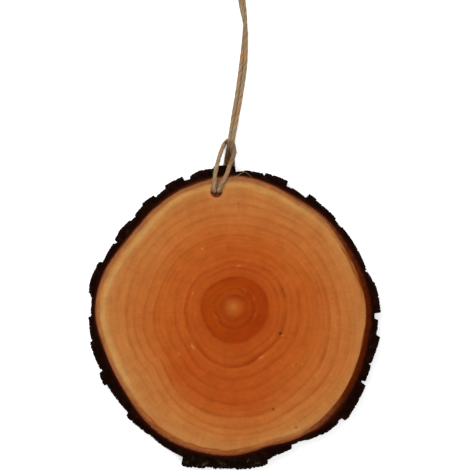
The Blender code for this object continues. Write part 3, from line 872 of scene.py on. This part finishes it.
def make_wood():
    """The sawn disc of wood with its hanging hole."""
    wood = new_piece("wood_disc", *wood_grid(), "sawn_wood")
    cut_hole(wood)
    add_values(wood, wood_values(np.array([v.co for v in wood.data.vertices])))
    wood.data.transform(SLICE_PLACE)
    wood.data.shade_smooth()
    wood.data.set_sharp_from_angle(angle=radians(35))
    wood.data.materials.clear()
    wood.data.materials.append(wood_material())
    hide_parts("wood")


# Bark

def bark_material():
    """Nearly black outer bark, mossy on its lowest plates, and the reddish inner bark next to the wood."""
    nodes = Nodes("bark", BARK_GLOSS, Roughness=0.85, Specular_IOR_Level=0.02)
    place = nodes.position()
    blotch = nodes.noise(place, 420.0, 4.0, 0.65)
    fine = nodes.noise(place, 2400.0, 3.0, 0.7)
    crumbs = nodes.noise(place, 480.0, 4.0, 0.72)
    streaks = nodes.noise(place, 900.0, 4.0, 0.7)
    ragged = nodes.math("MULTIPLY", nodes.math("SUBTRACT", blotch, 0.5), INNER_BARK_RAGGED)
    band = nodes.math("ADD", nodes.values("band"), ragged)
    outer = nodes.mix(nodes.values("moss"), nodes.ramp(blotch, OUTER_BARK), nodes.ramp(crumbs, MOSSY_BARK))
    glow = nodes.math("MULTIPLY", nodes.values("glow"), RED_BARK_STRENGTH)
    outer = nodes.mix(glow, outer, nodes.seen(*RED_OUTER_BARK))
    red, tan = nodes.ramp(band, RED_INNER_BARK), nodes.ramp(band, TAN_INNER_BARK)
    inner = nodes.mix(nodes.values("tone"), red, tan)
    inner = nodes.mix(0.55, inner, nodes.ramp(streaks, [(0.30, 0.20), (0.70, 0.72)]), "OVERLAY")
    colour = nodes.mix(nodes.ramp(band, [(0.80, 0.0), (1.00, 1.0)]), inner, outer)
    height = nodes.math("ADD", blotch, nodes.math("MULTIPLY", fine, 0.5))
    return nodes.finish(colour, height, 0.6, 0.00025)


def bark_noise(angle, radius, height, scales, shifts=(0.0, 0.0)):
    """Smooth random number from -1 to 1 at a place, with scales per millimetre round and along the branch."""
    x = radius * cos(radians(angle)) * 1000.0
    y = radius * sin(radians(angle)) * 1000.0
    z = height * 1000.0
    return noise.noise(Vector((x * scales[0] + shifts[0], y * scales[0], z * scales[1] + shifts[1])))


def bark_relief(angle, height, radius):
    """How deep the outer bark's furrows and crumbs are at a place on its side, in metres."""
    furrow = abs(bark_noise(angle, radius, height, FURROW_SCALES))
    split = abs(bark_noise(angle, radius, height, SPLIT_SCALES, (9.0, 0.0)))
    crumb = 0.5 + 0.5 * bark_noise(angle, radius, height, CRUMB_SCALES, (0.0, 5.0))
    ragged = 0.5 + 0.5 * bark_noise(angle, radius, height, FRINGE_SCALES, (0.0, 2.0))
    fringe = max(0.0, 1.0 - abs((angle - FRINGE_DIRECTION) / FRINGE_HALF_WIDTH) ** 4)
    return (
        FURROW_DEPTH * max(0.0, 1.0 - furrow * 5.0)
        + SPLIT_DEPTH * max(0.0, 1.0 - split * 9.0)
        + CRUMB_DEPTH * crumb
        + fringe * (FRINGE_DEPTH * ragged - FRINGE_PROUD)
    )


def bark_drop(angle, radius, share):
    """How far the bark's sawn end lies below the saw cut, in metres. share is 0 at the wood and 1 outside."""
    rough = 0.5 + 0.5 * bark_noise(angle, radius, 0.0, END_ROUGH_SCALES, (0.0, 3.0))
    crumb = 0.5 + 0.5 * bark_noise(angle, radius, 0.0, END_CRUMB_SCALES, (0.0, 8.0))
    outside = clamped((share - 0.35) / 0.5)
    rounding = max(0.0, (share - 0.86) / 0.14) ** 2
    return outside * (END_ROUGH * rough + END_CRUMBS * crumb) + END_ROUNDING * rounding


def bark_radius(angle, level):
    """Radius of the bark's side in a direction, at a level from 0 at the back to 1 at the front."""
    wander = PLATE_WANDER * sin(2.2 * pi * level + radians(angle) * 7.0)
    radius = plate_radius(angle + wander)
    chip = EDGE_CHIP * abs(2.0 * level - 1.0) ** 8
    return radius - bark_relief(angle, level * THICKNESS, radius) + BARK_PROUD - chip


def bark_grid():
    """Points of the bark's section in each direction, its number of rows, and what its material reads."""
    top_rows, side_rows, back_rows = BARK_ROWS
    angles = [360.0 * c / BARK_COLUMNS for c in range(BARK_COLUMNS)]
    inner = [wood_edge(a) + JOINT_GAP * 0.5 for a in angles]
    back, front = ([bark_radius(a, level) for a in angles] for level in (0.0, 1.0))
    widths = by_direction(INNER_BARK, 1, angles)
    tones = by_direction(INNER_BARK, 2, angles)
    points = []
    values = {"band": [], "tone": [], "moss": [], "glow": []}

    def add_row(radii, heights, share):
        """Add a row round the slice. share is 0 at the wood and 1 outside."""
        for column, angle in enumerate(angles):
            radius = radii[column]
            points.append((radius * cos(radians(angle)), radius * sin(radians(angle)), heights[column]))
            from_wood = radius - inner[column]
            beyond = max(0.0, from_wood - widths[column])
            red = clamped(1.0 - beyond / RED_BARK_FADE)
            low = 1.0 - abs((angle - MOSS_DIRECTION) / MOSS_HALF_WIDTH)
            values["band"].append(2.0 if share == 1.0 else min(2.0, from_wood / widths[column]))
            values["tone"].append(tones[column])
            values["moss"].append(clamped(2.5 * low) * clamped((share - MOSS_FROM) / MOSS_FADE))
            values["glow"].append(red * min(1.0, tones[column] / RED_BARK_TONE))

    for row in range(top_rows + 1):
        share = row / top_rows
        radii = [i + (o - i) * share for i, o in zip(inner, front)]
        heights = [THICKNESS - bark_drop(a, r, share) for a, r in zip(angles, radii)]
        add_row(radii, heights, share)
    top = heights
    for row in range(1, side_rows):
        level = 1.0 - row / side_rows
        add_row([bark_radius(a, level) for a in angles], [level * t for t in top], 1.0)
    for row in range(back_rows + 1):
        share = 1.0 - row / back_rows
        radii = [i + (o - i) * share for i, o in zip(inner, back)]
        heights = [bark_drop(a + 40.0, r, share) * 0.6 for a, r in zip(angles, radii)]
        add_row(radii, heights, share)
    return points, top_rows + side_rows + back_rows + 1, values


def make_bark():
    """The ring of bark: stepped plates with furrows along the branch, and a crumbly sawn end."""
    points, rows, values = bark_grid()
    faces = [tuple(reversed(face)) for face in grid_faces(rows, BARK_COLUMNS, True)]
    bark = new_piece("bark_ring", points, faces, "bark", bark_material())
    bark.data.transform(SLICE_PLACE)
    add_values(bark, values)
    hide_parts("bark")


# Twine

def smooth_points(route, step, floor):
    """Points on a smooth curve through the route, about one step apart, not below floor."""
    points = [Vector(p) for p in route]
    points.insert(0, points[0] * 2.0 - points[1])
    points.append(points[-1] * 2.0 - points[-2])
    smooth = []
    for i in range(1, len(points) - 2):
        before, start, end, after = points[i - 1:i + 3]
        span = (end - start).length
        slope_start = (end - before) * span / (span + (start - before).length)
        slope_end = (after - start) * span / ((after - end).length + span)
        pieces = max(1, ceil(span / step - 0.5))
        smooth += [eased(piece / pieces, start, slope_start, end, slope_end) for piece in range(pieces)]
    smooth.append(points[-2])
    for point in smooth:
        point.z = max(point.z, floor)
    return smooth


def carried_sides(points):
    """The direction along a curve and one to its side at each point, with no twist of its own."""
    ahead = [(b - a).normalized() for a, b in zip(points, points[1:])]
    ahead.append(ahead[-1])
    side = ahead[0].orthogonal().normalized()
    sides = []
    for direction in ahead:
        side = (side - direction * side.dot(direction)).normalized()
        sides.append(side.copy())
    return ahead, sides


def painted_hitch_shade_and_darker_top(point):
    """How much a point on the twine is darkened, from 0 to 1: by painted brown shade in the hitch, and by a
    weaker darkening a little higher up.
    """
    if point.y > UPPER_SHADE_FROM:
        inside = min(point.y - UPPER_SHADE_FROM, UPPER_SHADE_TO - point.y)
        return UPPER_SHADE * clamped(inside / UPPER_SHADE_FADE)
    if point.x < HITCH_SHADE_LEFT:
        return 0.0
    below = (HITCH_SHADE_TOP - point.z) / HITCH_SHADE_DOWN
    within = min(point.y - HITCH_SHADE_FROM, HITCH_SHADE_TO - point.y) / HITCH_SHADE_ALONG
    return max(HITCH_SHADE_HIGH, min(1.0, below)) * clamped(within)


def plied_strand(points, radius, around, start_turn=0.0):
    """Points, faces and material values of one twisted strand along a curve, with closed ends."""
    ahead, sides = carried_sides(points)
    made, fibre, groove_shade = [], [], []
    along = 0.0
    for number, point in enumerate(points):
        if number:
            along += (point - points[number - 1]).length
        twist = start_turn + 2.0 * pi * along / PLY_PITCH
        side = sides[number]
        other = ahead[number].cross(side)
        swell = 1.0 + STRAND_SWELL * noise.noise(Vector((along * 350.0, start_turn, 0.0)))
        for step in range(around):
            turn = 2.0 * pi * step / around
            depth = (1.0 - abs(cos(PLIES * 0.5 * (turn - twist)))) ** 1.5
            own = turn - FIBRE_TWIST * twist
            fuzz = noise.noise(Vector((cos(own) * 5.0, sin(own) * 5.0, along * 600.0)))
            reach = radius * swell * (1.0 - PLY_GROOVE * depth + STRAND_ROUGH * fuzz)
            place = point + (side * cos(turn) + other * sin(turn)) * reach
            place.z = max(place.z, 0.0)
            made.append(place)
            fibre.append((cos(own), sin(own), along * 100.0))
            # The groove's depth also sets how much painted shade the material puts between the plies.
            groove_shade.append(depth)
    faces = grid_faces(len(points), around, False)
    faces.append(tuple(reversed(range(around))))
    faces.append(tuple(range(len(made) - around, len(made))))
    return made, faces, fibre, groove_shade


def strand_piece(name, strands, material):
    """One piece out of one or more twisted strands."""
    points, faces = joined(strand[:2] for strand in strands)
    piece = new_piece(name, points, faces, "jute_twine", material)
    add_values(piece, {
        # shade holds the painted shade inside the hitch and the weaker darkening of the upper twine.
        "shade": [painted_hitch_shade_and_darker_top(point) for point in points],
        "fibre": sum((strand[2] for strand in strands), []),
        "groove_shade": sum((strand[3] for strand in strands), []),
    })
    return piece


def hair(points, radius):
    """Points and faces of one thin tapered fibre."""
    ahead, sides = carried_sides(points)
    made = []
    last = len(points) - 1
    for number, point in enumerate(points):
        other = ahead[number].cross(sides[number])
        own = radius * (1.0 - 0.75 * number / last)
        for step in range(3):
            turn = 2.0 * pi * step / 3
            made.append(point + (sides[number] * cos(turn) + other * sin(turn)) * own)
    faces = grid_faces(len(points), 3, False)
    faces.append((2, 1, 0))
    faces.append((3 * last, 3 * last + 1, 3 * last + 2))
    return made, faces


def fuzz_piece(name, paths, radius, kind, material, random):
    """Loose fibres that stand out of the strands whose centre lines are the paths."""
    count, thickness = kind
    hairs = []
    for _ in range(count):
        path = paths[random.integers(len(paths))]
        start = int(random.integers(6, len(path) - 7))
        ahead = (path[start + 1] - path[start]).normalized()
        if random.random() < 0.5:
            ahead = -ahead
        side = ahead.orthogonal().normalized()
        turn = random.uniform(0.0, 2.0 * pi)
        out = (side * cos(turn) + ahead.cross(side) * sin(turn)).normalized()
        length = random.uniform(*FUZZ_LENGTH)
        lift = random.uniform(*FUZZ_LIFT)
        bend = random.uniform(*FUZZ_BEND)
        curl = ahead.cross(out)
        route = []
        for step in range(6):
            t = step / 5.0
            far = length * t
            point = path[start] + out * (radius * 0.9 + lift * far * (1.0 - 0.4 * t))
            point = point + ahead * far + curl * (bend * far * t)
            point.z = max(point.z, 0.00005)
            route.append(point)
        hairs.append(hair(route, random.uniform(*thickness)))
    return new_piece(name, *joined(hairs), "jute_twine", material)


def short_fibres(name, middles, aheads, thickness, material, random):
    """Short bent fibres, each through its middle with half its length ahead, as one piece."""
    hairs = []
    for middle, ahead in zip(middles, aheads):
        bend = Vector((-ahead.y, ahead.x, 0.0)) * random.uniform(-0.4, 0.4)
        route = [middle + ahead * t + bend * t * t for t in (-1.0, -0.5, 0.0, 0.5, 1.0)]
        hairs.append(hair(route, random.uniform(*thickness)))
    return new_piece(name, *joined(hairs), "jute_twine", material)


def in_hole(reach, turn, height):
    """A place in the model's frame, from the hole's middle by reach in the direction of turn."""
    x = HOLE_PLACE[0] + reach * cos(turn)
    y = HOLE_PLACE[1] + reach * sin(turn)
    return SLICE_PLACE @ Vector((x, y, height))


def hole_fibres(kind, material, random):
    """Brown fibres worn off the twine, that lie across the hanging hole round its two strands."""
    count, thickness = kind
    middles, aheads = [], []
    for number in range(count):
        turn = random.uniform(0.0, 2.0 * pi)
        at_wall = number % 3 == 0
        reach = HOLE_RADIUS * (random.uniform(0.80, 1.0) if at_wall else 0.9 * random.random() ** 0.6)
        height = random.uniform(*(WALL_FIBRE_HEIGHTS if at_wall else INNER_FIBRE_HEIGHTS))
        own = turn + 0.5 * pi if at_wall else random.uniform(0.0, 2.0 * pi)
        middles.append(in_hole(reach, turn, height))
        aheads.append(Vector((cos(own), sin(own), random.uniform(-0.3, 0.3))) * HOLE_FIBRE_HALF)
    return short_fibres("hole_fibres", middles, aheads, thickness, material, random)


def mouth_fibres(kind, material, random):
    """Frayed fibres that lie over the half of the hole's mouth where the two legs come out."""
    count, thickness = kind
    middles, aheads = [], []
    for _ in range(count):
        turn = radians(random.uniform(*MOUTH_DIRECTIONS))
        reach = HOLE_RADIUS * random.uniform(*MOUTH_SHARES)
        middles.append(in_hole(reach, turn, THICKNESS + random.uniform(*MOUTH_HEIGHTS)))
        ahead = Vector((random.uniform(-0.35, 0.35), 1.0, random.uniform(-0.2, 0.2)))
        aheads.append(ahead * MOUTH_FIBRE_HALF)
    return short_fibres("mouth_fibres", middles, aheads, thickness, material, random)


def hitch_fibres(kind, material, random):
    """Loose fibres between the two strands behind the hitch, coloured dark brown as painted shade."""
    count, thickness = kind
    middles, aheads = [], []
    for _ in range(count):
        share = random.random()
        across = random.uniform(-1.0, 1.0)
        x, y, z = (start + along * share for start, along in zip(HITCH_FIBRES_START, HITCH_FIBRES_ALONG))
        middles.append(Vector((x + HITCH_FIBRES_WIDE * across, y, z + HITCH_FIBRES_DEEP * random.random())))
        aheads.append(Vector((*HITCH_FIBRE_HALF, random.uniform(-0.0002, 0.0002))))
    return short_fibres("hitch_fibres", middles, aheads, thickness, material, random)


def jute_material():
    """Dull tan twisted jute, with painted shade darkening it between its plies."""
    nodes = Nodes("jute_twine", JUTE_GLOSS, Roughness=0.9, Specular_IOR_Level=0.1, Sheen_Weight=0.05)
    streaks = nodes.noise(nodes.values("fibre", "Vector"), 1.0, 4.0, 0.65, (5.0, 5.0, 0.9))
    patches = nodes.ramp(nodes.noise(nodes.position(), 160.0, 2.0), [(0.40, 0.0), (0.62, 1.0)])
    colour = nodes.mix(patches, nodes.ramp(streaks, WARM_JUTE), nodes.ramp(streaks, GREY_JUTE))
    # Painted shade: the grooves between the plies are darkened towards the groove colour.
    groove_shade = nodes.ramp(nodes.values("groove_shade"), [(0.30, 0.0), (0.90, 0.55)])
    colour = nodes.mix(groove_shade, colour, nodes.seen(*JUTE_GROOVE_SHADE))
    # Painted shade: the strands inside the hitch are darkened brown, and the twine's upper part a little.
    colour = nodes.mix(nodes.values("shade"), colour, SHADE_TINT, "MULTIPLY")
    return nodes.finish(colour, streaks, 0.5, 0.00008)


def fibre_material(name, dark, pale):
    """Single jute fibres between two shades."""
    nodes = Nodes(name, JUTE_GLOSS, Roughness=0.8)
    shade = nodes.noise(nodes.position(), 700.0, 2.0)
    nodes.shade("Base Color", nodes.ramp(shade, [(0.35, dark), (0.65, pale)]))
    return nodes.material


def make_knot(material):
    """The knot of the two ends, and the centre lines of its two strands."""
    centre = Vector(KNOT_CENTRE)
    paths = []
    for side in (-1.0, 1.0):
        route = [centre + (Vector(middle) + Vector(half) * side) * 0.001 for middle, half in KNOT_ROUTE]
        paths.append(smooth_points(route, TWINE_STEP, KNOT_STRAND_RADIUS))
    strands = [plied_strand(p, KNOT_STRAND_RADIUS, KNOT_SIDES, start) for p, start in zip(paths, (0.0, 1.0))]
    knot = strand_piece("end_knot", strands, material)
    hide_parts("twine_knot")
    return knot, paths


def make_twine(random):
    """The hitched loop, the knot of its ends, and their loose fibres."""
    jute = jute_material()
    fibres = fibre_material("jute_fibre", (150, 112, 76), (198, 164, 130))
    worn = fibre_material("worn_fibre", (150, 58, 10), (186, 96, 42))
    shaded = fibre_material("shaded_fibre", (88, 58, 34), (122, 84, 52))
    path = smooth_points(TWINE_ROUTE, TWINE_STEP, STRAND_RADIUS)
    loop = strand_piece("twine_loop", [plied_strand(path, STRAND_RADIUS, STRAND_SIDES)], jute)
    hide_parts("twine")
    knot, knot_paths = make_knot(jute)
    fuzz = fuzz_piece("twine_fuzz", [path], STRAND_RADIUS, TWINE_FUZZ, fibres, random)
    knot_fuzz = fuzz_piece("knot_fuzz", knot_paths, KNOT_STRAND_RADIUS, KNOT_FUZZ, fibres, random)
    lint = hole_fibres(HOLE_FIBRES, worn, random)
    # Loose fibres behind the hitch, with their dark brown colour as painted shade.
    shaded_hitch_fibres = hitch_fibres(HITCH_FIBRES, shaded, random)
    pale = fibre_material("mouth_fibre", (158, 106, 58), (192, 140, 88))
    hairy = mouth_fibres(MOUTH_FIBRES, pale, random)
    hole_x = AXIS_FOOT[0] + HOLE_PLACE[0]
    low = [p for p in path if p.z > LEG_FRAY_ABOVE and p.y < LEG_FRAY_TO]
    legs = [[p for p in low if p.x > hole_x], [p for p in low if p.x <= hole_x]]
    frayed = fuzz_piece("frayed_fibres", legs, STRAND_RADIUS, LEG_FRAY, fibres, random)
    stray_path = smooth_points(STRAY_FIBRE, 0.0004, 0.0)
    stray = new_piece("stray_fibre", *hair(stray_path, STRAY_FIBRE_RADIUS), "jute_twine", fibres)
    [tuple(p) for p in path]


# Stage

def make_camera():
    """A long lens straight above the slice, in the photograph's frame."""
    data = bpy.data.cameras.new("camera")
    data.sensor_width = SENSOR_WIDTH
    data.lens = SENSOR_WIDTH * CAMERA_HEIGHT / (PHOTO_PIXELS * METRES_PER_PIXEL)
    data.clip_end = 10.0
    camera = add_object("camera", data)
    camera.location = (VIEW_CENTRE[0], VIEW_CENTRE[1], CAMERA_HEIGHT + THICKNESS)
    bpy.context.scene.camera = camera


def make_floor():
    """A plain, nearly white floor."""
    corners = [(-1.0, -1.0), (1.0, -1.0), (1.0, 1.0), (-1.0, 1.0)]
    floor = add_mesh("floor", [(x * FLOOR_HALF, y * FLOOR_HALF, 0.0) for x, y in corners], [(0, 1, 2, 3)])
    nodes = Nodes("floor", Roughness=1.0, Specular_IOR_Level=0.0, Emission_Strength=FLOOR_GLOW)
    nodes.shade("Base Color", (FLOOR_WHITE, FLOOR_WHITE, FLOOR_WHITE, 1.0))
    nodes.shade("Emission Color", (1.0, 1.0, 1.0, 1.0))
    floor.data.materials.append(nodes.material)


def make_lights():
    """Soft light from all round, with a little more from square lights that shine at the slice."""
    world = bpy.data.worlds.new("studio")
    world.use_nodes = True
    background = world.node_tree.nodes["Background"]
    background.inputs["Color"].default_value = (1.0, 1.0, 1.0, 1.0)
    background.inputs["Strength"].default_value = SKY_STRENGTH
    bpy.context.scene.world = world
    for name, place, size, power in LIGHTS:
        data = bpy.data.lights.new(name, "AREA")
        data.size = size
        data.energy = power
        light = add_object(name, data)
        light.location = place
        aim = Vector(LIGHT_AIM) - Vector(place)
        light.rotation_euler = aim.to_track_quat("-Z", "Y").to_euler()
    bpy.context.scene.view_settings.view_transform = "Standard"


def main():
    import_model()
    random = np.random.default_rng(SEED)
    make_camera()
    make_twine(random)
    make_wood()
    make_bark()
    make_floor()
    make_lights()


main()
